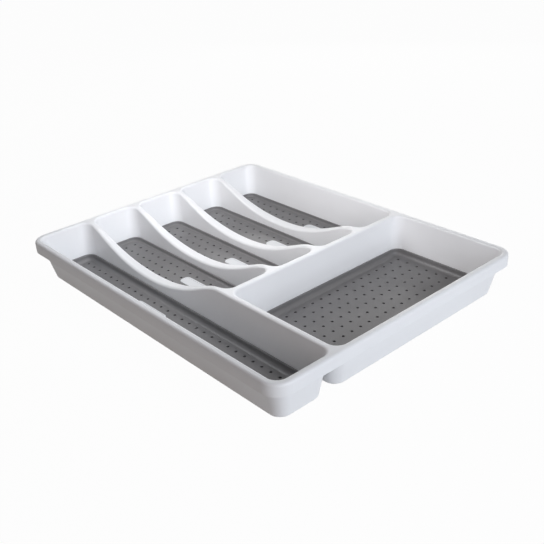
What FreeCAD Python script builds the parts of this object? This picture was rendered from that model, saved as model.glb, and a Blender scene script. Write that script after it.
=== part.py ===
import FreeCAD, Part
import os
import Sketcher

# A cutlery tray: one moulded shell with six drafted tubs, a soft mat in each tub,
# a white marker plaque in each cutlery mat, and rubber feet under the tubs.
# Frame: origin on the table under the tray's centre, X along the front edge, Y to the back, Z up.

doc = FreeCAD.newDocument("CutleryTray")

# Driving dimensions, in millimetres and degrees

SIZES = (
    ("tray_width", 324, "left to right over the rim"),
    ("tray_depth", 406, "front to back over the rim"),
    ("tray_height", 48, "table to rim"),
    ("rim_corner", 18, "outer corner radius of the rim"),
    ("rim_width", 7, "rim edge to compartment opening"),
    ("rim_round", 3, "rounding of the rim's outer edge"),
    ("rim_deck", 2, "thickness of the rim's top"),
    ("skirt_depth", 12.5, "height of the turned-down skirt"),
    ("skirt_wall", 2, "thickness of the skirt"),
    ("shell_wall", 2, "thickness of tub walls and divider crests"),
    ("shell_floor", 1.8, "thickness of tub floors"),
    ("short_lift", 3, "how much higher the short tubs' floors lie than the others"),
    ("outer_draft", 11, "lean of the tubs' outer walls, degrees"),
    ("divider_draft", 6, "lean of the walls at the dividers, degrees"),
    ("cross_draft", 8, "lean of the walls at the cross wall, degrees"),
    ("ridge_width", 6, "width of dividers and cross wall at the rim"),
    ("ridge_round", 2.5, "rounding of every opening's edge"),
    ("long_width", 62, "long compartment's opening, left to right"),
    ("wide_depth", 139, "wide compartment's opening, front to back"),
    ("corner_round", 11, "corner radius of the compartments"),
    ("floor_round", 3, "rounding between tub wall and floor"),
    ("base_round", 4, "rounding of the tubs' outer bottom edges"),
    ("scoop_depth", 27.8, "how far the divider crests dip below the rim"),
    ("scoop_reach", 122.5, "cross wall's opening edge to the lowest point"),
    ("scoop_start", 7, "cross wall's opening edge to the start of the dip"),
    ("scoop_end", 2, "back opening edge to the end of the dip"),
    ("scoop_front_crown", 22.5, "pull of the curve at its front top"),
    ("scoop_front_bowl", 67, "pull of the curve in front of its lowest point"),
    ("scoop_back_bowl", 69, "pull of the curve behind its lowest point"),
    ("scoop_back_crown", 24, "pull of the curve at its back top"),
    ("foot_stand", 1.6, "how far the feet hold the tubs off the table"),
    ("foot_seat", 0.8, "depth of a foot's seat in the tub floor"),
    ("foot_diameter", 12, "foot"),
    ("foot_round", 0.5, "rounding of a foot's lower edge"),
    ("foot_fit", 0.2, "clearance round a foot in its seat"),
    ("foot_inset", 11, "edge of a tub's underside to the centre of a foot"),
    ("mat_floor", 1.8, "thickness of a mat"),
    ("mat_lip", 1.6, "thickness of a mat's upturned lip"),
    ("mat_rise", 9, "height of the lips over the deeper tubs' floors"),
    ("mat_cove", 2.5, "inside rounding between mat and lip"),
    ("mat_heel", 3.5, "outside rounding under the lip"),
    ("mat_edge", 0.5, "rounding of the lip's top"),
    ("mat_fit", 0.3, "clearance between mat and tub wall"),
    ("marker_width", 13, "marker plaque, left to right"),
    ("marker_length", 50, "marker plaque, front to back"),
    ("marker_corner", 5, "marker plaque's corner radius"),
    ("marker_thick", 1.6, "marker plaque"),
    ("marker_round", 0.4, "rounding of the plaque's top edge"),
    ("marker_seat", 0.9, "depth of the plaque's seat in the mat"),
    ("marker_fit", 0.15, "clearance round a plaque in its seat"),
    ("marker_border", 2, "width of the plaque's raised border"),
    ("marker_sink", 0.3, "depth of the panel inside the border"),
    ("marker_reach", 63, "cross wall's opening edge to the plaque's front end"),
)

sheet = doc.addObject("Spreadsheet::Sheet", "Sizes")
for row, (alias, number, meaning) in enumerate(SIZES, start=1):
    sheet.set(f"A{row}", meaning)
    sheet.set(f"B{row}", str(number))
    sheet.setAlias(f"B{row}", alias)
doc.recompute()


def value(expression):
    """The number that an expression over the sheet gives now."""
    result = sheet.evalExpression(expression)
    return float(getattr(result, "Value", result))


# Compartment openings at the rim and the lean of each of their four walls, as expressions

LEFT = "(-Sizes.tray_width / 2 + Sizes.rim_width)"
RIGHT = "(Sizes.tray_width / 2 - Sizes.rim_width)"
FRONT = "(-Sizes.tray_depth / 2 + Sizes.rim_width)"
BACK = "(Sizes.tray_depth / 2 - Sizes.rim_width)"
LONG_RIGHT = f"({LEFT} + Sizes.long_width)"
SHORT_LEFT = f"({LONG_RIGHT} + Sizes.ridge_width)"
SHORT_WIDTH = f"(({RIGHT} - {SHORT_LEFT} - 3 * Sizes.ridge_width) / 4)"
CROSS_FRONT = f"({FRONT} + Sizes.wide_depth)"
CROSS_BACK = f"({CROSS_FRONT} + Sizes.ridge_width)"

OUTER = "tan(Sizes.outer_draft)"
DIVIDER = "tan(Sizes.divider_draft)"
CROSS = "tan(Sizes.cross_draft)"

RIM_LEVEL = "Sizes.tray_height"
LIP_LEVEL = "(Sizes.foot_stand + Sizes.shell_floor + Sizes.mat_rise)"


class Compartment:
    """One tapering compartment: its opening at the rim, the lean of its four walls, and its levels."""

    def __init__(self, name, left, right, front, back, leans, lift):
        self.name = name
        self.edges = (left, right, front, back)
        self.leans = leans
        self.base = f"(Sizes.foot_stand + {lift})"
        self.floor = f"({self.base} + Sizes.shell_floor)"
        self.mat = f"({self.floor} + Sizes.mat_floor)"

    def section(self, level, outset):
        """Left, right, front and back at a level, grown outward by outset."""
        drop = f"(Sizes.tray_height - {level})"
        inward = ("+", "-", "+", "-")
        outward = ("-", "+", "-", "+")
        return [
            f"({edge} {into} {lean} * {drop} {out} {outset})"
            for edge, into, lean, out in zip(self.edges, inward, self.leans, outward)
        ]


COMPARTMENTS = [Compartment("long", LEFT, LONG_RIGHT, FRONT, BACK, (OUTER, DIVIDER, OUTER, OUTER), "0")]
for index in range(4):
    start = f"({SHORT_LEFT} + {index} * ({SHORT_WIDTH} + Sizes.ridge_width))"
    end = f"({start} + {SHORT_WIDTH})"
    right_lean = OUTER if index == 3 else DIVIDER
    leans = (DIVIDER, right_lean, CROSS, OUTER)
    name = f"short_{index + 1}"
    COMPARTMENTS.append(Compartment(name, start, end, CROSS_BACK, BACK, leans, "Sizes.short_lift"))
COMPARTMENTS.append(
    Compartment("wide", SHORT_LEFT, RIGHT, FRONT, CROSS_FRONT, (DIVIDER, OUTER, OUTER, CROSS), "0")
)
BASES = {room.base for room in COMPARTMENTS}
FLOORS = {room.floor for room in COMPARTMENTS}


# Sketches and features that several pieces use

UPENDED = FreeCAD.Rotation(FreeCAD.Vector(1, 0, 0), 90)
TOUCHING = 0.01  # millimetres
STEEP = 0.9  # rise of an edge as a share of its length, above which it is a corner of a compartment


def origin_plane(body, role):
    return next(plane for plane in body.Origin.OriginFeatures if plane.Role == role)


def new_body(label):
    body = doc.addObject("PartDesign::Body", label)
    body.Label = label
    return body


def new_sketch(body, name, role, offset):
    """A sketch on an origin plane of its body, moved by three expressions in the plane's own axes."""
    sketch = body.newObject("Sketcher::SketchObject", name)
    sketch.AttachmentSupport = [(origin_plane(body, role), "")]
    sketch.MapMode = "FlatFace"
    for axis, expression in zip("xyz", offset):
        sketch.setExpression(f"AttachmentOffset.Base.{axis}", expression)
    return sketch


def name_constraint(sketch, name, constraint, expression):
    index = sketch.addConstraint(constraint)
    sketch.renameConstraint(index, name)
    sketch.setExpression(f"Constraints.{name}", expression)


def add_loop(sketch, section, corner, mark):
    """Draw a rectangle with round corners about a sketch's origin, its sizes named with a mark."""
    left, right, front, back = section
    width = f"({right} - {left})"
    depth = f"({back} - {front})"
    half_x = value(width) / 2
    half_y = value(depth) / 2
    radius = value(corner)
    in_x = half_x - radius
    in_y = half_y - radius
    up = FreeCAD.Vector(0, 0, 1)
    corners = ((in_x, in_y, 0), (-in_x, in_y, 90), (-in_x, -in_y, 180), (in_x, -in_y, 270))
    turn = FreeCAD.Units.parseQuantity("1 deg").getValueAs("rad").Value
    arcs = []
    for x, y, angle in corners:
        ring = Part.Circle(FreeCAD.Vector(x, y, 0), up, radius)
        arc = Part.ArcOfCircle(ring, angle * turn, (angle + 90) * turn)
        arcs.append(sketch.addGeometry(arc))
    ends = (
        ((in_x, half_y), (-in_x, half_y)),
        ((-half_x, in_y), (-half_x, -in_y)),
        ((-in_x, -half_y), (in_x, -half_y)),
        ((half_x, -in_y), (half_x, in_y)),
    )
    lines = []
    for (x1, y1), (x2, y2) in ends:
        line = Part.LineSegment(FreeCAD.Vector(x1, y1, 0), FreeCAD.Vector(x2, y2, 0))
        lines.append(sketch.addGeometry(line))
    for side in range(4):
        following = (side + 1) % 4
        sketch.addConstraint(Sketcher.Constraint("Tangent", arcs[side], 2, lines[side], 1))
        sketch.addConstraint(Sketcher.Constraint("Tangent", lines[side], 2, arcs[following], 1))
    sketch.addConstraint(Sketcher.Constraint("Horizontal", lines[0]))
    sketch.addConstraint(Sketcher.Constraint("Vertical", lines[1]))
    sketch.addConstraint(Sketcher.Constraint("Horizontal", lines[2]))
    sketch.addConstraint(Sketcher.Constraint("Equal", arcs[0], arcs[1]))
    sketch.addConstraint(Sketcher.Constraint("Equal", arcs[1], arcs[2]))
    sketch.addConstraint(Sketcher.Constraint("Symmetric", arcs[0], 3, arcs[2], 3, -1, 1))
    name_constraint(sketch, f"{mark}_corner", Sketcher.Constraint("Radius", arcs[0], radius), corner)
    across = Sketcher.Constraint("DistanceX", lines[1], 1, lines[3], 1, 2 * half_x)
    name_constraint(sketch, f"{mark}_width", across, width)
    along = Sketcher.Constraint("DistanceY", lines[2], 1, lines[0], 1, 2 * half_y)
    name_constraint(sketch, f"{mark}_depth", along, depth)


def rounded_rectangle(body, name, level, section, corner):
    """A sketch of a rectangle with round corners, placed on its section's middle at a level."""
    left, right, front, back = section
    middle = (f"({left} + {right}) / 2", f"({front} + {back}) / 2", level)
    sketch = new_sketch(body, name, "XY_Plane", middle)
    add_loop(sketch, section, corner, "outer")
    return sketch


def pad(body, kind, name, sketch, length, downward):
    feature = body.newObject(f"PartDesign::{kind}", name)
    feature.Profile = sketch
    feature.setExpression("Length", length)
    feature.Reversed = downward
    return feature


def wedge(body, kind, name, room, lower, upper, outset):
    """A compartment's tapering block between two levels, grown outward by outset.

    The block tapers along its own Y and is upended: its Y is the tray's Z and its Z the tray's -Y.
    """
    feature = body.newObject(f"PartDesign::{kind}Wedge", name)
    feature.AttachmentSupport = [(origin_plane(body, "XY_Plane"), "")]
    feature.MapMode = "FlatFace"
    feature.AttachmentOffset = FreeCAD.Placement(FreeCAD.Vector(0, 0, 0), UPENDED)
    feature.setExpression("Ymin", lower)
    feature.setExpression("Ymax", upper)
    for level, mark in ((lower, ""), (upper, "2")):
        left, right, front, back = room.section(level, outset)
        feature.setExpression(f"X{mark}min", left)
        feature.setExpression(f"X{mark}max", right)
        feature.setExpression(f"Z{mark}min", f"-{back}")
        feature.setExpression(f"Z{mark}max", f"-{front}")
    doc.recompute()
    return feature


def fillet(body, name, radius, wanted):
    """Round the edges of the body's present shape that a test accepts."""
    doc.recompute()
    base = body.Tip
    names = [f"Edge{n}" for n, edge in enumerate(base.Shape.Edges, start=1) if wanted(base.Shape, edge)]
    feature = body.newObject("PartDesign::Fillet", name)
    feature.Base = (base, names)
    feature.setExpression("Radius", radius)
    doc.recompute()
    return feature


def middle_of(edge):
    return edge.valueAt((edge.FirstParameter + edge.LastParameter) / 2)


def level_edges(*levels):
    """A test for the edges that lie at one of the levels."""
    heights = [value(level) for level in levels]
    return lambda shape, edge: any(abs(middle_of(edge).z - height) < TOUCHING for height in heights)


def corner_edges(*levels):
    """A test for the edges that rise from one of the levels, where two walls of a compartment meet."""
    heights = [value(level) for level in levels]

    def wanted(shape, edge):
        ends = [vertex.Z for vertex in edge.Vertexes]
        low = min(ends)
        if max(ends) - low < STEEP * edge.Length:
            return False
        return any(abs(low - height) < TOUCHING for height in heights)

    return wanted


# Tray shell: six rounded tubs, joined by the rim's deck and its turned-down skirt

tray = new_body("tray")
tray.AllowCompound = True
TUB_TOP = f"({RIM_LEVEL} - Sizes.rim_deck / 2)"
WALL = "Sizes.shell_wall"
for room in COMPARTMENTS:
    wedge(tray, "Additive", f"tub_{room.name}", room, room.base, TUB_TOP, WALL)
fillet(tray, "tub_corners", f"(Sizes.corner_round + {WALL})", corner_edges(*BASES))
fillet(tray, "tub_bases", "Sizes.base_round", level_edges(*BASES))

RIM = ("-Sizes.tray_width / 2", "Sizes.tray_width / 2", "-Sizes.tray_depth / 2", "Sizes.tray_depth / 2")
SKIRT = (
    "(-Sizes.tray_width / 2 + Sizes.skirt_wall)",
    "(Sizes.tray_width / 2 - Sizes.skirt_wall)",
    "(-Sizes.tray_depth / 2 + Sizes.skirt_wall)",
    "(Sizes.tray_depth / 2 - Sizes.skirt_wall)",
)
SKIRT_CORNER = "(Sizes.rim_corner - Sizes.skirt_wall)"
deck_outline = rounded_rectangle(tray, "deck_outline", RIM_LEVEL, RIM, "Sizes.rim_corner")
pad(tray, "Pad", "deck", deck_outline, "Sizes.rim_deck", True)
skirt_outline = rounded_rectangle(tray, "skirt_outline", RIM_LEVEL, RIM, "Sizes.rim_corner")
add_loop(skirt_outline, SKIRT, SKIRT_CORNER, "inner")
pad(tray, "Pad", "skirt", skirt_outline, "Sizes.skirt_depth", True)
doc.recompute()


# Scooped dividers: one curve, dipping from the cross wall and rising to the back rim, cuts all four.
# A block above the curve's lower copy is added first, so that a skin is left under the cut.

SCOOP_LEFT = f"({LONG_RIGHT} - Sizes.long_width / 2)"
SCOOP_RIGHT = f"({RIGHT} - {SHORT_WIDTH} / 2)"
SCOOP_LENGTH = f"({SCOOP_RIGHT} - {SCOOP_LEFT})"
SCOOP_LOW = f"({CROSS_BACK} + Sizes.scoop_reach)"
SCOOP_FRONT_RUN = "(Sizes.scoop_reach - Sizes.scoop_start)"
SCOOP_BACK_RUN = f"({BACK} - Sizes.scoop_end - {SCOOP_LOW})"


def crest_outline(body, name, level, top):
    """The crest curve, its lowest point at a level under the rim, closed by a straight top."""
    lowest = f"({level} - Sizes.scoop_depth)"
    sketch = new_sketch(body, name, "YZ_Plane", (SCOOP_LOW, lowest, SCOOP_LEFT))
    depth = value("Sizes.scoop_depth")
    front = -value(SCOOP_FRONT_RUN)
    back = value(SCOOP_BACK_RUN)
    height = value(f"{top} - {lowest}")
    front_poles = (
        (front, depth),
        (front + value("Sizes.scoop_front_crown"), depth),
        (-value("Sizes.scoop_front_bowl"), 0),
        (0, 0),
    )
    back_poles = (
        (0, 0),
        (value("Sizes.scoop_back_bowl"), 0),
        (back - value("Sizes.scoop_back_crown"), depth),
        (back, depth),
    )
    curves = []
    for poles in (front_poles, back_poles):
        points = [FreeCAD.Vector(x, y, 0) for x, y in poles]
        curves.append(sketch.addGeometry(Part.BSplineCurve(points, None, None, False, 3, None, False)))
    turns = ((back, depth), (back, height), (front, height), (front, depth))
    lines = []
    for (x1, y1), (x2, y2) in zip(turns, turns[1:]):
        line = Part.LineSegment(FreeCAD.Vector(x1, y1, 0), FreeCAD.Vector(x2, y2, 0))
        lines.append(sketch.addGeometry(line))
    loop = (curves[1], lines[0], lines[1], lines[2], curves[0])
    sketch.addConstraint(Sketcher.Constraint("Coincident", curves[0], 2, -1, 1))
    sketch.addConstraint(Sketcher.Constraint("Coincident", curves[1], 1, -1, 1))
    for one, other in zip(loop, loop[1:]):
        sketch.addConstraint(Sketcher.Constraint("Coincident", one, 2, other, 1))
    sketch.addConstraint(Sketcher.Constraint("Vertical", lines[0]))
    sketch.addConstraint(Sketcher.Constraint("Horizontal", lines[1]))
    sketch.addConstraint(Sketcher.Constraint("Vertical", lines[2]))
    run = Sketcher.Constraint("DistanceX", curves[0], 1, -1, 1, -front)
    name_constraint(sketch, "front_run", run, SCOOP_FRONT_RUN)
    run = Sketcher.Constraint("DistanceX", -1, 1, curves[1], 2, back)
    name_constraint(sketch, "back_run", run, SCOOP_BACK_RUN)
    rise = Sketcher.Constraint("DistanceY", -1, 1, curves[0], 1, depth)
    name_constraint(sketch, "front_rise", rise, "Sizes.scoop_depth")
    rise = Sketcher.Constraint("DistanceY", -1, 1, curves[1], 2, depth)
    name_constraint(sketch, "back_rise", rise, "Sizes.scoop_depth")
    rise = Sketcher.Constraint("DistanceY", -1, 1, lines[1], 1, height)
    name_constraint(sketch, "top", rise, f"{top} - {lowest}")
    pulls = (
        (curves[0], "front_crown", "front_bowl"),
        (curves[1], "back_bowl", "back_crown"),
    )
    for curve, first, last in pulls:
        pole = sketch.GeometryCount
        sketch.exposeInternalGeometry(curve)
        ends = ((pole, pole + 1, first), (pole + 2, pole + 3, last))
        for one, other, pull in ends:
            size = f"Sizes.scoop_{pull}"
            sketch.addConstraint(Sketcher.Constraint("Horizontal", one, 3, other, 3))
            reach = Sketcher.Constraint("DistanceX", one, 3, other, 3, value(size))
            name_constraint(sketch, pull, reach, size)
    return sketch


skin_outline = crest_outline(tray, "skin_outline", f"({RIM_LEVEL} - {WALL})", TUB_TOP)
pad(tray, "Pad", "crest_skin", skin_outline, SCOOP_LENGTH, False)
doc.recompute()

# Hollows: the six blocks that fill the tubs in the mould, rounded first and then cut away together

HOLLOW_TOP = f"({RIM_LEVEL} + Sizes.rim_deck)"
core = new_body("core")
core.AllowCompound = True
for room in COMPARTMENTS:
    wedge(core, "Additive", f"core_{room.name}", room, room.floor, HOLLOW_TOP, "0")
fillet(core, "core_corners", "Sizes.corner_round", corner_edges(*FLOORS))
fillet(core, "core_floors", "Sizes.floor_round", level_edges(*FLOORS))
hollows = tray.newObject("PartDesign::Boolean", "hollows")
hollows.Type = "Cut"
hollows.addObject(core)
doc.recompute()

scoop_outline = crest_outline(tray, "scoop_outline", RIM_LEVEL, f"({RIM_LEVEL} + Sizes.scoop_depth)")
pad(tray, "Pocket", "scoop", scoop_outline, SCOOP_LENGTH, True)

# Roundings of the shell's openings, crests and rim

UPRIGHT = 0.05  # upward part of a wall's normal, below which the wall counts as upright
FACES_UP = 0.5  # and above which a face counts as a top


def tilts(shape, edge):
    """The upward part of the normal of each face at the middle of an edge."""
    point = middle_of(edge)
    found = []
    for face in shape.ancestorsOfType(edge, Part.Face):
        u, v = face.Surface.parameter(point)
        found.append(face.normalAt(u, v).z)
    return found


def on_crest(shape, edge):
    """Edges where a top face meets a leaning compartment wall, above the mats."""
    if middle_of(edge).z < value(LIP_LEVEL):
        return False
    low, high = sorted(tilts(shape, edge))
    return UPRIGHT < low < FACES_UP < high


def on_rim(shape, edge):
    """Edges where the rim's top meets the upright skirt."""
    if abs(middle_of(edge).z - value(RIM_LEVEL)) > TOUCHING:
        return False
    low, high = sorted(tilts(shape, edge))
    return abs(low) < UPRIGHT and high > FACES_UP


fillet(tray, "crest_edges", "Sizes.ridge_round", on_crest)
fillet(tray, "rim_edge", "Sizes.rim_round", on_rim)


# Feet: round rubber buttons pressed into shallow seats under the tubs


def centre(section):
    left, right, front, back = section
    return f"(({left} + {right}) / 2)"


def foot_places():
    """Where the feet are: both ends of the long tub, the short tubs' back ends, the wide tub's front.

    Each place is an x, a y and the level of the tub's underside there.
    """
    places = []
    for room in COMPARTMENTS:
        section = room.section(room.base, WALL)
        left, right, front, back = section
        near = f"({front} + Sizes.foot_inset)"
        far = f"({back} - Sizes.foot_inset)"
        if room.name == "wide":
            places.append((f"({left} + Sizes.foot_inset)", near, room.base))
            places.append((f"({right} - Sizes.foot_inset)", near, room.base))
            continue
        places.append((centre(section), far, room.base))
        if room.name == "long":
            places.append((centre(section), near, room.base))
    return places


def circle(body, name, place, diameter):
    sketch = new_sketch(body, name, "XY_Plane", place)
    radius = value(diameter) / 2
    ring = sketch.addGeometry(Part.Circle(FreeCAD.Vector(0, 0, 0), FreeCAD.Vector(0, 0, 1), radius))
    sketch.addConstraint(Sketcher.Constraint("Coincident", ring, 3, -1, 1))
    name_constraint(sketch, "diameter", Sketcher.Constraint("Diameter", ring, 2 * radius), diameter)
    return sketch


SEAT_DIAMETER = "(Sizes.foot_diameter + 2 * Sizes.foot_fit)"
for number, (x, y, level) in enumerate(foot_places(), start=1):
    seat = circle(tray, f"seat_outline_{number}", (x, y, level), SEAT_DIAMETER)
    pad(tray, "Pocket", f"seat_{number}", seat, "Sizes.foot_seat", True)
    doc.recompute()

    foot = new_body(f"foot_{number}")
    outline = circle(foot, f"foot_outline_{number}", ("0", "0", "0"), "Sizes.foot_diameter")
    pad(foot, "Pad", f"foot_button_{number}", outline, f"({level} + Sizes.foot_seat)", False)
    fillet(foot, f"foot_edge_{number}", "Sizes.foot_round", level_edges("0"))
    foot.setExpression("Placement.Base.x", x)
    foot.setExpression("Placement.Base.y", y)

# Mats: a soft sheet on each tub floor, turned up all round into a coved lip

MAT_OUTSIDE = "(-Sizes.mat_fit)"
MAT_INSIDE = "(-Sizes.mat_fit - Sizes.mat_lip)"
ABOVE_LIP = f"({LIP_LEVEL} + Sizes.mat_lip)"

mats = {}
for room in COMPARTMENTS:
    mat = new_body(f"liner_{room.name}")
    mats[room.name] = mat
    wedge(mat, "Additive", f"mat_block_{room.name}", room, room.floor, LIP_LEVEL, MAT_OUTSIDE)
    wedge(mat, "Subtractive", f"mat_dish_{room.name}", room, room.mat, ABOVE_LIP, MAT_INSIDE)
    corner = f"(Sizes.corner_round + {MAT_INSIDE})"
    fillet(mat, f"dish_corners_{room.name}", corner, corner_edges(room.mat))
    corner = f"(Sizes.corner_round + {MAT_OUTSIDE})"
    fillet(mat, f"mat_corners_{room.name}", corner, corner_edges(room.floor))
    fillet(mat, f"mat_cove_{room.name}", "Sizes.mat_cove", level_edges(room.mat))
    fillet(mat, f"mat_heel_{room.name}", "Sizes.mat_heel", level_edges(room.floor))
    fillet(mat, f"mat_edge_{room.name}", "Sizes.mat_edge", level_edges(LIP_LEVEL))

# Markers: a white plaque with a raised border, seated in each cutlery mat and a little proud of it


def plaque(room, outset):
    """The outline of a compartment's plaque, grown outward by outset, and its corner radius."""
    middle = centre(room.section(room.mat, "0"))
    front_end = f"({CROSS_BACK} + Sizes.marker_reach)"
    section = (
        f"({middle} - Sizes.marker_width / 2 - {outset})",
        f"({middle} + Sizes.marker_width / 2 + {outset})",
        f"({front_end} - {outset})",
        f"({front_end} + Sizes.marker_length + {outset})",
    )
    return section, f"(Sizes.marker_corner + {outset})"


for room in COMPARTMENTS:
    if room.name == "wide":
        continue
    seat_level = f"({room.mat} - Sizes.marker_seat)"
    plaque_level = f"({seat_level} + Sizes.marker_thick)"
    mat = mats[room.name]
    hole = rounded_rectangle(mat, f"marker_hole_{room.name}", room.mat, *plaque(room, "Sizes.marker_fit"))
    pad(mat, "Pocket", f"marker_seat_{room.name}", hole, "Sizes.marker_seat", False)

    marker = new_body(f"marker_{room.name}")
    outline = rounded_rectangle(marker, f"marker_outline_{room.name}", seat_level, *plaque(room, "0"))
    pad(marker, "Pad", f"marker_plate_{room.name}", outline, "Sizes.marker_thick", False)
    fillet(marker, f"marker_edge_{room.name}", "Sizes.marker_round", level_edges(plaque_level))
    panel = plaque(room, "(-Sizes.marker_border)")
    inner = rounded_rectangle(marker, f"panel_outline_{room.name}", plaque_level, *panel)
    pad(marker, "Pocket", f"marker_panel_{room.name}", inner, "Sizes.marker_sink", False)
    doc.recompute()

# Check every object, then write one file for each piece

doc.recompute()
for obj in doc.Objects:
    if "Invalid" in obj.State or "Error" in obj.State:
        raise RuntimeError(f"{obj.Label} did not build: {obj.State}")

os.makedirs("parts", exist_ok=True)
for body in doc.findObjects("PartDesign::Body"):
    if body is core:
        continue
    if body.Shape.isNull() or not body.Shape.isValid() or len(body.Shape.Solids) != 1:
        raise RuntimeError(f"{body.Label} is not one sound solid")
    body.Shape.exportStep(f"parts/{body.Label}.step")
    print(body.Label, round(body.Shape.Volume / 1000, 2), "cm3")
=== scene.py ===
from math import cos, pi, radians, sin, tan

import bmesh
import bpy
from mathutils import Matrix, Vector


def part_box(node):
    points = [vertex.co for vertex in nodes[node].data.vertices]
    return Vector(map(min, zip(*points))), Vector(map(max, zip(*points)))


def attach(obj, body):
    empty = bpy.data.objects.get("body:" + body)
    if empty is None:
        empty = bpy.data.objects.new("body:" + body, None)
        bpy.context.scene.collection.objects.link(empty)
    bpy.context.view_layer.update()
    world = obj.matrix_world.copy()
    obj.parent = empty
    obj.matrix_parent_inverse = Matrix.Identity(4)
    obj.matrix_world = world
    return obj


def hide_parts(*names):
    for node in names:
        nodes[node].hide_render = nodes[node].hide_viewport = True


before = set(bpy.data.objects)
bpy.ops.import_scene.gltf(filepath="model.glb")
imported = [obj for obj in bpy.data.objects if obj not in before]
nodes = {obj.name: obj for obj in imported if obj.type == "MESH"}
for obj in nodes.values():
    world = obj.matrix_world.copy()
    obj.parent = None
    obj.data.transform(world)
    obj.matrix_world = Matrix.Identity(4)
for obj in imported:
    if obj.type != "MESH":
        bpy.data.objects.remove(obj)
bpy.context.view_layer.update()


# Tray shell
# One injection moulding in white polypropylene: six drafted tubs hung from a rim with a turned-down skirt.
# Its satin skin comes from a finely eroded mould, and its edges are a little polished by handling.

SHELL_WHITE = (0.915, 0.920, 0.930, 1)
SHELL_SHADE = (0.895, 0.900, 0.912, 1)
SHELL_ROUGHNESS = (0.34, 0.46)
SHELL_GRAIN = 0.25
FLOW_SCALE = 14.0
FLOW_ENDS = (0.35, 0.65)
SMEAR_SCALE = 55.0
PIT_SCALE = 1600.0
PIT_DEPTH = 0.00003
EDGE_WIDTH = 0.002
EDGE_SAMPLES = 4
EDGE_STARTS = 0.90
EDGE_POLISH = 0.8


def node_adder(tree):
    """A helper that adds a node to a tree and sets its sockets and settings by name."""

    def add(kind, **settings):
        node = tree.nodes.new(kind)
        for key, setting in settings.items():
            if key in node.inputs:
                node.inputs[key].default_value = setting
            else:
                setattr(node, key, setting)
        return node

    return add


def new_material(name):
    """A new material, its principled shader, and the helpers that add its nodes and link them."""
    material = bpy.data.materials.new(name)
    material.use_nodes = True
    tree = material.node_tree
    return material, tree.nodes["Principled BSDF"], node_adder(tree), tree.links.new


def dress(piece, material):
    """Put one material on every slot of a piece."""
    if not piece.data.materials:
        piece.data.materials.append(material)
    for index in range(len(piece.data.materials)):
        piece.data.materials[index] = material


def cloud_pattern(add, link, scale, detail, roughness):
    """A cloudy pattern of values from 0 to 1, fixed to the piece."""
    place = add("ShaderNodeTexCoord")
    clouds = add("ShaderNodeTexNoise", Scale=scale, Detail=detail, Roughness=roughness)
    link(place.outputs["Object"], clouds.inputs["Vector"])
    return clouds.outputs["Fac"]


def two_tones(add, link, pattern, ends, tones):
    """A colour that goes from one tone to another between two levels of a pattern."""
    ramp = add("ShaderNodeValToRGB")
    for stop, end, tone in zip(ramp.color_ramp.elements, ends, tones):
        stop.position = end
        stop.color = tone
    link(pattern, ramp.inputs["Fac"])
    return ramp.outputs["Color"]


def values_between(add, link, pattern, low, high, start=0.0):
    """Values from low to high that follow a pattern from its start up to 1."""
    spread = add("ShaderNodeMapRange")
    spread.inputs["From Min"].default_value = start
    spread.inputs["To Min"].default_value = low
    spread.inputs["To Max"].default_value = high
    link(pattern, spread.inputs["Value"])
    return spread.outputs["Result"]


def fine_skin(add, link, pattern, strength, depth):
    """A skin whose fine relief follows a pattern."""
    relief = add("ShaderNodeBump", Strength=strength, Distance=depth)
    link(pattern, relief.inputs["Height"])
    return relief.outputs["Normal"]


def edge_polish(add, link):
    """A factor that is 1 on open faces and smaller along edges, where hands have polished them."""
    rounded = add("ShaderNodeBevel", samples=EDGE_SAMPLES, Radius=EDGE_WIDTH)
    flat = add("ShaderNodeNewGeometry")
    alike = add("ShaderNodeVectorMath", operation="DOT_PRODUCT")
    link(rounded.outputs["Normal"], alike.inputs[0])
    link(flat.outputs["Normal"], alike.inputs[1])
    return values_between(add, link, alike.outputs["Value"], EDGE_POLISH, 1.0, start=EDGE_STARTS)


def moulded_plastic(name, pale, shade, roughness, grain):
    """Moulded plastic: faint flow clouds in the colour, uneven satin, fine grain, and polished edges."""
    material, shader, add, link = new_material(name)
    flow = cloud_pattern(add, link, FLOW_SCALE, detail=3.0, roughness=0.5)
    link(two_tones(add, link, flow, FLOW_ENDS, (shade, pale)), shader.inputs["Base Color"])
    smears = cloud_pattern(add, link, SMEAR_SCALE, detail=4.0, roughness=0.6)
    worn = add("ShaderNodeMath", operation="MULTIPLY")
    link(values_between(add, link, smears, *roughness), worn.inputs[0])
    link(edge_polish(add, link), worn.inputs[1])
    link(worn.outputs["Value"], shader.inputs["Roughness"])
    pits = cloud_pattern(add, link, PIT_SCALE, detail=2.0, roughness=0.6)
    link(fine_skin(add, link, pits, grain, PIT_DEPTH), shader.inputs["Normal"])
    return material


shell_plastic = moulded_plastic(
    "satin_white_shell", SHELL_WHITE, SHELL_SHADE, SHELL_ROUGHNESS, SHELL_GRAIN
)
dress(nodes["tray"], shell_plastic)


# Feet
# Round buttons of light grey rubber, pressed into shallow seats under the tubs.
# Moulded matt, and dusty where they have stood.

FOOT_GREY = (0.36, 0.36, 0.35, 1)
FOOT_DUST = (0.46, 0.455, 0.44, 1)
FOOT_MOTTLE = 90.0
FOOT_ROUGHNESS = (0.6, 0.8)
FOOT_GRAIN = 0.3
FOOT_SHINE = 0.4
MOTTLE_ENDS = (0.3, 0.7)
BLOOM_FINER = 3
PEBBLE_SCALE = 1900.0
PEBBLE_DEPTH = 0.00005


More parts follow.
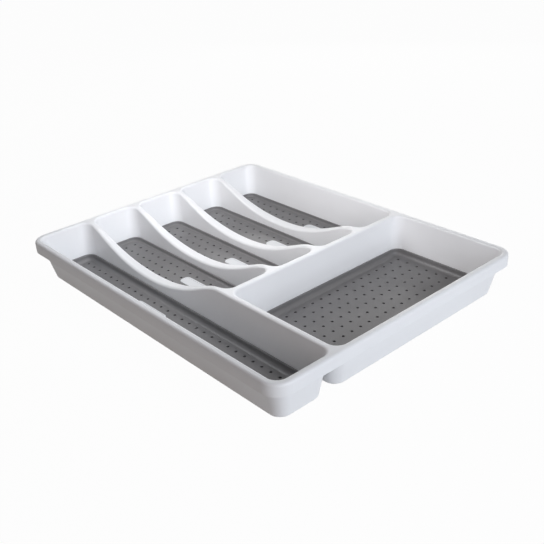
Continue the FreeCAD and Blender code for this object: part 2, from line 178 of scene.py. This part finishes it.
def soft_rubber(name, dark, pale, mottle_scale, roughness, grain, shine):
    """Matt rubber: mottled colour, uneven dull gloss, and a fine pebbled skin."""
    material, shader, add, link = new_material(name)
    mottle = cloud_pattern(add, link, mottle_scale, detail=5.0, roughness=0.62)
    link(two_tones(add, link, mottle, MOTTLE_ENDS, (dark, pale)), shader.inputs["Base Color"])
    bloom = cloud_pattern(add, link, mottle_scale * BLOOM_FINER, detail=3.0, roughness=0.55)
    link(values_between(add, link, bloom, *roughness), shader.inputs["Roughness"])
    shader.inputs["Specular IOR Level"].default_value = shine
    place = add("ShaderNodeTexCoord")
    pebbles = add("ShaderNodeTexVoronoi", Scale=PEBBLE_SCALE)
    link(place.outputs["Object"], pebbles.inputs["Vector"])
    skin = fine_skin(add, link, pebbles.outputs["Distance"], grain, PEBBLE_DEPTH)
    link(skin, shader.inputs["Normal"])
    return material


foot_rubber = soft_rubber(
    "foot_rubber", FOOT_GREY, FOOT_DUST, FOOT_MOTTLE, FOOT_ROUGHNESS, FOOT_GRAIN, FOOT_SHINE
)
for name in nodes:
    if name.startswith("foot_"):
        dress(nodes[name], foot_rubber)


# Mats
# One soft grey elastomer liner lies loose in each tub: a dotted sheet turned up all round into a coved lip.
# The dots are blind dimples left by pins in the mould; their faces get a darker rubber as painted shade.
# A cutlery mat also has a seat for its marker plaque.

MAT_DARK = (0.176, 0.172, 0.174, 1)
MAT_PALE = (0.192, 0.188, 0.189, 1)
MAT_MOTTLE = 30.0
MAT_ROUGHNESS = (0.32, 0.36)
MAT_GRAIN = 0.05
MAT_SHINE = 0.4
# The dimples' colours are painted shade: darker than the mat, they stand in for the shade inside the pits.
DIMPLE_PAINTED_SHADE_DARK = (0.078, 0.076, 0.077, 1)
DIMPLE_PAINTED_SHADE_PALE = (0.098, 0.095, 0.096, 1)
DIMPLE_MOTTLE = 60.0
DIMPLE_ROUGHNESS = (0.5, 0.65)
DIMPLE_GRAIN = 0.1
DIMPLE_SHINE = 0.25

# The sheet's sizes in metres, with the share of the lip's rise that its cove takes
SHEET_THICK = 0.0018
LIP_THICK = 0.0016
LIP_LEAN = tan(radians(11))
LIP_ROUND = 0.0005
LIP_STEPS = 2
MAT_CORNER = 0.0107
CORNER_STEPS = 8
COVE_SHARE = 0.7
COVE_STEPS = 8
FLOOR_MARGIN = 0.0006
HEEL_ROUND = 0.003
HEEL_STEPS = 3
DIMPLE_MOUTH = 0.0015
DIMPLE_TIP = 0.0011
DIMPLE_DEPTH = 0.0012
PIN_SIDES = 14
CUTTER_PROUD = 0.001
SEAT_DEPTH = 0.0009
SEAT_GAP = 0.00015
PLAQUE_CORNER = 0.005

# What counts as lying at one height, as a crease and as smooth, in metres and radians
LEVEL_WITHIN = 0.00001
CREASE_ANGLE = 0.5
SMOOTH_ANGLE = radians(35)

mat_rubber = soft_rubber(
    "mat_elastomer", MAT_DARK, MAT_PALE, MAT_MOTTLE, MAT_ROUGHNESS, MAT_GRAIN, MAT_SHINE
)
# A darker copy of the mat's rubber, painted into the dimples as shade.
painted_dimple_shade = soft_rubber(
    "dimple_painted_shade", DIMPLE_PAINTED_SHADE_DARK, DIMPLE_PAINTED_SHADE_PALE, DIMPLE_MOTTLE, DIMPLE_ROUGHNESS, DIMPLE_GRAIN, DIMPLE_SHINE
)


def only(piece):
    """Select one piece alone and make it active."""
    bpy.ops.object.select_all(action="DESELECT")
    piece.select_set(True)
    bpy.context.view_layer.objects.active = piece


def pick(piece, kind, test):
    """In edit mode, select only the vertices, edges or faces that a test accepts."""
    bpy.ops.mesh.select_mode(type={"verts": "VERT", "edges": "EDGE", "faces": "FACE"}[kind])
    bpy.ops.mesh.select_all(action="DESELECT")
    mesh = bmesh.from_edit_mesh(piece.data)
    for element in getattr(mesh, kind):
        element.select_set(test(element))
    mesh.select_flush_mode()
    bmesh.update_edit_mesh(piece.data)


def crease_at(edge, height):
    """Whether an edge lies at one height, with faces that meet there at an angle."""
    level = all(abs(vertex.co.z - height) < LEVEL_WITHIN for vertex in edge.verts)
    return level and edge.calc_face_angle(0) > CREASE_ANGLE


def settle(piece):
    """Leave a finished piece at the origin, unturned and unscaled, with its place in its mesh."""
    only(piece)
    bpy.ops.object.transform_apply(location=True, rotation=True, scale=True)


def rounded_plate(name, low, high, height, corner):
    """A flat plate with round corners between two points, left in edit mode."""
    middle = ((low.x + high.x) / 2, (low.y + high.y) / 2, height)
    bpy.ops.mesh.primitive_plane_add(size=1, location=middle)
    plate = bpy.context.object
    plate.name = name
    plate.scale = (high.x - low.x, high.y - low.y, 1)
    settle(plate)
    bpy.ops.object.mode_set(mode="EDIT")
    bpy.ops.mesh.select_all(action="SELECT")
    bpy.ops.mesh.bevel(offset=corner, segments=CORNER_STEPS, affect="VERTICES")
    return plate


def sink_floor(low, high):
    """From a lip's whole top, step down the inside of the lip and round its cove to the mat's floor."""
    rise = high.z - low.z - SHEET_THICK
    cove = COVE_SHARE * rise
    wall = rise - cove
    bpy.ops.mesh.inset(thickness=LIP_THICK, depth=0)
    bpy.ops.mesh.inset(thickness=LIP_LEAN * wall, depth=-wall)
    for step in range(COVE_STEPS):
        start = pi / 2 * step / COVE_STEPS
        end = pi / 2 * (step + 1) / COVE_STEPS
        inward = cove * (cos(start) - cos(end))
        down = cove * (sin(end) - sin(start))
        bpy.ops.mesh.inset(thickness=inward, depth=-down)
    bpy.ops.mesh.inset(thickness=FLOOR_MARGIN, depth=0)


def draw_down_outside(sheet, low, high):
    """From a lip's outline, draw the leaning outside down to the base, and close the base."""
    pick(sheet, "edges", lambda edge: edge.is_boundary)
    bpy.ops.mesh.extrude_edges_move(TRANSFORM_OT_translate={"value": (0, 0, low.z - high.z)})
    shrink = 2 * LIP_LEAN * (high.z - low.z)
    size = high - low
    middle = (low + high) / 2
    taper = (1 - shrink / size.x, 1 - shrink / size.y, 1)
    bpy.ops.transform.resize(value=taper, center_override=(middle.x, middle.y, low.z))
    bpy.ops.mesh.edge_face_add()
    bpy.ops.mesh.select_all(action="SELECT")
    bpy.ops.mesh.normals_make_consistent(inside=False)


def dished_sheet(name, low, high):
    """A mat without its dimples: a dished sheet with a rounded heel and a rounded lip."""
    sheet = rounded_plate(name, low, high, high.z, MAT_CORNER)
    bpy.ops.mesh.select_mode(type="FACE")
    bpy.ops.mesh.select_all(action="SELECT")
    sink_floor(low, high)
    draw_down_outside(sheet, low, high)
    pick(sheet, "edges", lambda edge: crease_at(edge, low.z))
    bpy.ops.mesh.bevel(offset=HEEL_ROUND, segments=HEEL_STEPS)
    pick(sheet, "edges", lambda edge: crease_at(edge, high.z))
    bpy.ops.mesh.bevel(offset=LIP_ROUND, segments=LIP_STEPS)
    bpy.ops.object.mode_set(mode="OBJECT")
    return sheet


def dimple_pins(name, first, pitch, count, floor):
    """The mould's pins: one tapered pin, copied along the rows and columns of a mat."""
    height = CUTTER_PROUD + DIMPLE_DEPTH
    mouth = DIMPLE_MOUTH + (DIMPLE_MOUTH - DIMPLE_TIP) * CUTTER_PROUD / DIMPLE_DEPTH
    place = (first[0], first[1], floor + (CUTTER_PROUD - DIMPLE_DEPTH) / 2)
    bpy.ops.mesh.primitive_cone_add(
        vertices=PIN_SIDES, radius1=DIMPLE_TIP, radius2=mouth, depth=height, location=place
    )
    pins = bpy.context.object
    pins.name = name
    copies = {"columns": ((pitch[0], 0, 0), count[0]), "rows": ((0, -pitch[1], 0), count[1])}
    for line, (offset, number) in copies.items():
        array = pins.modifiers.new(line, "ARRAY")
        array.use_relative_offset = False
        array.use_constant_offset = True
        array.constant_offset_displace = offset
        array.count = number
        bpy.ops.object.modifier_apply(modifier=line)
    settle(pins)
    return pins


def clear_pins(pins, first, pitch, low, high):
    """Take out the whole pins that stand where a plaque is set."""
    margin = 2 * DIMPLE_MOUTH

    def in_the_way(vertex):
        across = first[0] + pitch[0] * round((vertex.co.x - first[0]) / pitch[0])
        along = first[1] + pitch[1] * round((vertex.co.y - first[1]) / pitch[1])
        beside = low.x - margin < across < high.x + margin
        return beside and low.y - margin < along < high.y + margin

    bpy.ops.object.mode_set(mode="EDIT")
    pick(pins, "verts", in_the_way)
    bpy.ops.mesh.delete(type="VERT")
    bpy.ops.object.mode_set(mode="OBJECT")


def plaque_cutter(name, low, high, floor):
    """A block the size of a plaque with a little room all round, reaching down to its seat."""
    gap = Vector((SEAT_GAP, SEAT_GAP, 0))
    cutter = rounded_plate(name, low - gap, high + gap, floor - SEAT_DEPTH, PLAQUE_CORNER + SEAT_GAP)
    bpy.ops.mesh.select_all(action="SELECT")
    bpy.ops.mesh.extrude_region_move(TRANSFORM_OT_translate={"value": (0, 0, SEAT_DEPTH + CUTTER_PROUD)})
    bpy.ops.mesh.select_all(action="SELECT")
    bpy.ops.mesh.normals_make_consistent(inside=False)
    bpy.ops.object.mode_set(mode="OBJECT")
    return cutter


def cut(piece, cutter):
    """Cut one piece with another, whose material goes on the cut faces, and throw the cutter away."""
    only(piece)
    boolean = piece.modifiers.new("cut", "BOOLEAN")
    boolean.operation = "DIFFERENCE"
    boolean.solver = "EXACT"
    boolean.material_mode = "TRANSFER"
    boolean.object = cutter
    bpy.ops.object.modifier_apply(modifier="cut")
    bpy.data.objects.remove(cutter)


# Each mat's dimples: the first one at the back left, the pitch across and along, and how many
SHORT_BACK_ROW = 0.1755
SHORT_PITCH = (0.0122, 0.01215)
SHORT_COUNT = (3, 18)
DIMPLES = {
    "long": ((-0.1354, 0.1785), (0.0134, 0.01205), (3, 30)),
    "short_1": ((-0.0712, SHORT_BACK_ROW), SHORT_PITCH, SHORT_COUNT),
    "short_2": ((-0.0092, SHORT_BACK_ROW), SHORT_PITCH, SHORT_COUNT),
    "short_3": ((0.0528, SHORT_BACK_ROW), SHORT_PITCH, SHORT_COUNT),
    "short_4": ((0.1130, SHORT_BACK_ROW), SHORT_PITCH, SHORT_COUNT),
    "wide": ((-0.0704, -0.0752), (0.0121, 0.01305), (18, 9)),
}

for room, (first, pitch, count) in DIMPLES.items():
    low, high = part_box(f"liner_{room}")
    floor = low.z + SHEET_THICK
    mat = dished_sheet(f"mat_{room}", low, high)
    dress(mat, mat_rubber)
    pins = dimple_pins("pins", first, pitch, count, floor)
    # The pins carry the painted shade, and the cut leaves it on the dimples' faces.
    dress(pins, painted_dimple_shade)
    if f"marker_{room}" in nodes:
        plaque_low, plaque_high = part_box(f"marker_{room}")
        clear_pins(pins, first, pitch, plaque_low, plaque_high)
        seat = plaque_cutter("seat", plaque_low, plaque_high, floor)
        dress(seat, mat_rubber)
        cut(mat, seat)
    cut(mat, pins)
    only(mat)
    bpy.ops.object.shade_smooth_by_angle(angle=SMOOTH_ANGLE)
    settle(mat)
    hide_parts(f"liner_{room}")
    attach(mat, f"mat_{room}")


# Markers
# A white plaque with a raised border is pressed into the mat of each cutlery compartment.
# It is the shell's plastic in a slightly greyer white, moulded a little glossier.

PLAQUE_WHITE = (0.800, 0.810, 0.825, 1)
PLAQUE_SHADE = (0.770, 0.780, 0.797, 1)
PLAQUE_ROUGHNESS = (0.28, 0.38)
PLAQUE_GRAIN = 0.2

plaque_plastic = moulded_plastic(
    "satin_white_plaque", PLAQUE_WHITE, PLAQUE_SHADE, PLAQUE_ROUGHNESS, PLAQUE_GRAIN
)
for name in nodes:
    if name.startswith("marker_"):
        dress(nodes[name], plaque_plastic)


# Floor
# A seamless sheet of white paper, rolled out flat under the tray.
# The lamps light and shade it as paper, but the camera sees it near white, so the tray's shadow stays faint.

FLOOR_SIZE = 12.0
FLOOR_CUTS = 4
FLOOR_WHITE = (0.60, 0.60, 0.60, 1)
FLOOR_ROUGHNESS = 0.9
FLOOR_SHINE = 0.1
GLOW_WHITE = (1, 1, 1, 1)
SEEN_WHITE = 0.975

bpy.ops.object.select_all(action="DESELECT")
bpy.ops.mesh.primitive_plane_add(size=FLOOR_SIZE, location=(0, 0, 0))
floor_sheet = bpy.context.object
floor_sheet.name = "floor"
bpy.ops.object.mode_set(mode="EDIT")
bpy.ops.mesh.subdivide(number_cuts=FLOOR_CUTS)
bpy.ops.object.mode_set(mode="OBJECT")

paper, shader, add, link = new_material("white_paper")
shader.inputs["Base Color"].default_value = FLOOR_WHITE
shader.inputs["Roughness"].default_value = FLOOR_ROUGHNESS
shader.inputs["Specular IOR Level"].default_value = FLOOR_SHINE


def seen_rays(add, link):
    """A value that is 1 for rays from the camera and for what glossy or clear surfaces show."""
    path = add("ShaderNodeLightPath")
    glossy = add("ShaderNodeMath", operation="MAXIMUM")
    link(path.outputs["Is Camera Ray"], glossy.inputs[0])
    link(path.outputs["Is Glossy Ray"], glossy.inputs[1])
    clear = add("ShaderNodeMath", operation="MAXIMUM")
    link(glossy.outputs["Value"], clear.inputs[0])
    link(path.outputs["Is Transmission Ray"], clear.inputs[1])
    return clear.outputs["Value"]


share = add("ShaderNodeMath", operation="MULTIPLY")
share.inputs[1].default_value = SEEN_WHITE
link(seen_rays(add, link), share.inputs[0])
glow = add("ShaderNodeEmission")
glow.inputs["Color"].default_value = GLOW_WHITE
glow.inputs["Strength"].default_value = 1.0
blend = add("ShaderNodeMixShader")
link(share.outputs["Value"], blend.inputs["Fac"])
link(shader.outputs["BSDF"], blend.inputs[1])
link(glow.outputs["Emission"], blend.inputs[2])
link(blend.outputs["Shader"], paper.node_tree.nodes["Material Output"].inputs["Surface"])
dress(floor_sheet, paper)


# Studio light
# Two strips hang low along the compartments and look to the right, so the tray's left side falls into shade.
# A large cool box stands in front of the tray, and weak ones stand to its left and beyond its far right
# corner, in a dim white room.

ROOM_LEVEL = 0.03

# Each lamp's place, the point it looks at, its length and width, its power in watts, and its colour
LAMPS = {
    "strip_long": ((-0.12, 0.10, 0.25), (0.10, 0.09, 0.00), (0.30, 0.08), 0.23, (0.90, 0.94, 1.0)),
    "strip_middle": ((-0.02, 0.05, 0.25), (0.15, 0.04, 0.00), (0.36, 0.10), 0.42, (1.0, 0.98, 0.98)),
    "front": ((0.00, -1.30, 0.50), (0.00, 0.00, 0.02), (0.90, 0.70), 11.8, (0.89, 0.93, 1.0)),
    "left": ((-1.00, -0.30, 0.35), (0.00, 0.00, 0.02), (0.60, 0.50), 0.75, (1.0, 0.76, 0.65)),
    "back": ((0.95, 0.65, 0.34), (0.00, 0.00, 0.03), (0.90, 0.50), 2.6, (1.0, 1.0, 1.0)),
}

for name, (place, aim, size, power, colour) in LAMPS.items():
    light = bpy.data.lights.new(name, "AREA")
    light.shape = "RECTANGLE"
    light.size, light.size_y = size
    light.energy = power
    light.color = colour
    lamp = bpy.data.objects.new(name, light)
    lamp.location = place
    lamp.rotation_euler = (Vector(aim) - Vector(place)).to_track_quat("-Z", "Y").to_euler()
    lamp.visible_camera = False
    bpy.context.scene.collection.objects.link(lamp)

white_room = bpy.data.worlds.new("white_room")
bpy.context.scene.world = white_room
white_room.use_nodes = True
add = node_adder(white_room.node_tree)
link = white_room.node_tree.links.new
backdrop = white_room.node_tree.nodes["Background"]
backdrop.inputs["Color"].default_value = GLOW_WHITE
strength = values_between(add, link, seen_rays(add, link), ROOM_LEVEL, SEEN_WHITE)
link(strength, backdrop.inputs["Strength"])


# Camera
# It stands in front of the tray's near left corner and looks down on it, at the photograph's viewing angle.
# Its place, turn, dip, roll and lens were fitted to the rim's corners, the dividers and the rows of dots.

CAMERA_PLACE = (-0.48280, -0.58280, 0.40855)
CAMERA_TURN = radians(-40.48)
CAMERA_DIP = radians(27.50)
CAMERA_ROLL = radians(3.37)
CAMERA_LENS = 52.74
CAMERA_SENSOR = 36

camera = bpy.data.objects.new("camera", bpy.data.cameras.new("camera"))
camera.data.lens = CAMERA_LENS
camera.data.sensor_width = CAMERA_SENSOR
turn = Matrix.Rotation(CAMERA_TURN, 4, "Z")
dip = Matrix.Rotation(pi / 2 - CAMERA_DIP, 4, "X")
roll = Matrix.Rotation(-CAMERA_ROLL, 4, "Z")
camera.matrix_world = Matrix.Translation(CAMERA_PLACE) @ turn @ dip @ roll
bpy.context.scene.collection.objects.link(camera)
bpy.context.scene.camera = camera
bpy.context.scene.view_settings.view_transform = "Standard"
